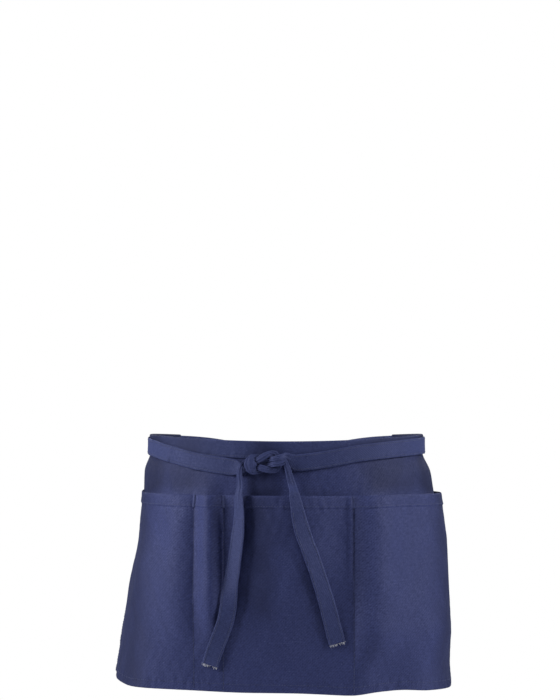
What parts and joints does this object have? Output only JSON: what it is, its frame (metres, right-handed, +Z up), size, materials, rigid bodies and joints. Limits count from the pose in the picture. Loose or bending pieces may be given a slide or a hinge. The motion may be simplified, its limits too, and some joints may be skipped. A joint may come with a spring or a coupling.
{
  "type": "waist apron",
  "caption": "Short navy twill waist apron with pockets across the front and a pen slot, in its worn form, tied in front with a knot.",
  "frame": {"origin": "middle of the wearer's waist, level with the middle of the waistband's height in front", "axes": "+X to the right of someone who faces the apron, -Y out of its front, +Z up"},
  "size_m": [0.3974, 0.2673, 0.2979],
  "materials": {
    "twill": "matte navy polyester and cotton twill",
    "tape": "matte navy folded twill tape"
  },
  "bodies": {
    "root": {"body_panel": "twill", "pocket_panel": "twill", "waistband": "tape", "tie_from_left": "tape", "tie_from_right": "tape"}
  },
  "joints": []
}
